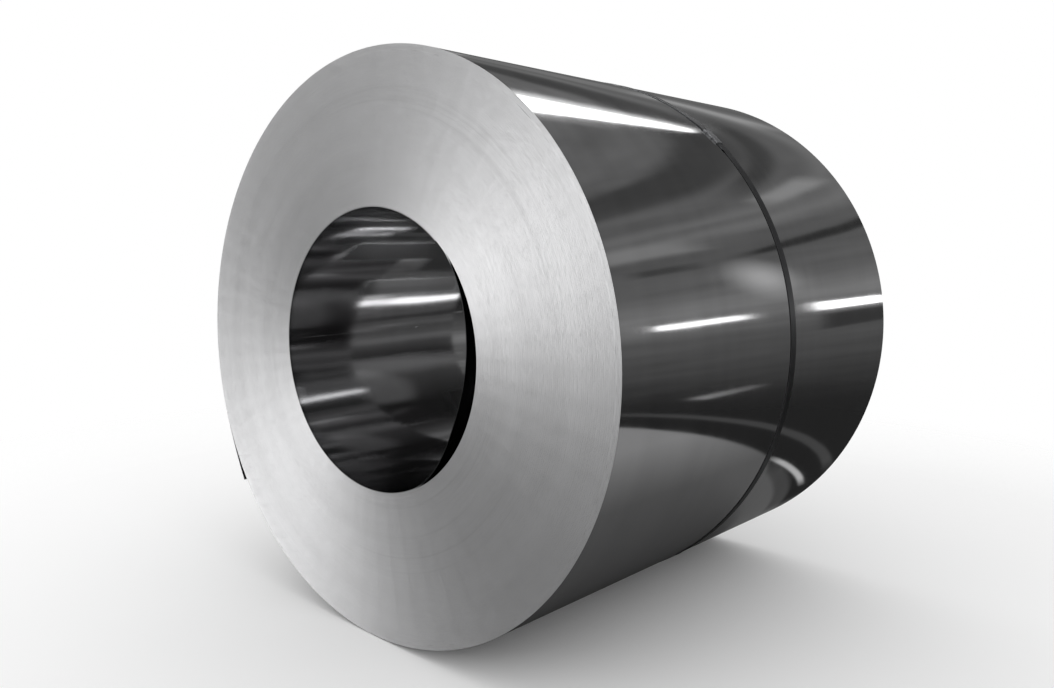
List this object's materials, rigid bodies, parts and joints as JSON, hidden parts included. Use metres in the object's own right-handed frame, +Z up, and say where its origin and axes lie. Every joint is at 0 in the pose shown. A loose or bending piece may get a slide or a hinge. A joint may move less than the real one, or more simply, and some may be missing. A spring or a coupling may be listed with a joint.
{
  "type": "steel coil",
  "caption": "Coil of cold-rolled steel strip lying on its side, with an open round eye and one steel strap round it held by a crimped seal.",
  "frame": {"origin": "on the floor under the middle of the coil", "axes": "+Y along the coil's axis, away from the near end; +Z up"},
  "size_m": [1.0581, 0.965, 1.0581],
  "materials": {
    "strip_steel": "bright cold-rolled faces, satin sheared edges on the ends",
    "strap_steel": "dark blued steel band",
    "seal_steel": "dark blued steel seal with crimp notches"
  },
  "bodies": {
    "root": {"coil": "strip_steel", "strap": "strap_steel", "strap_seal": "seal_steel"}
  },
  "joints": []
}
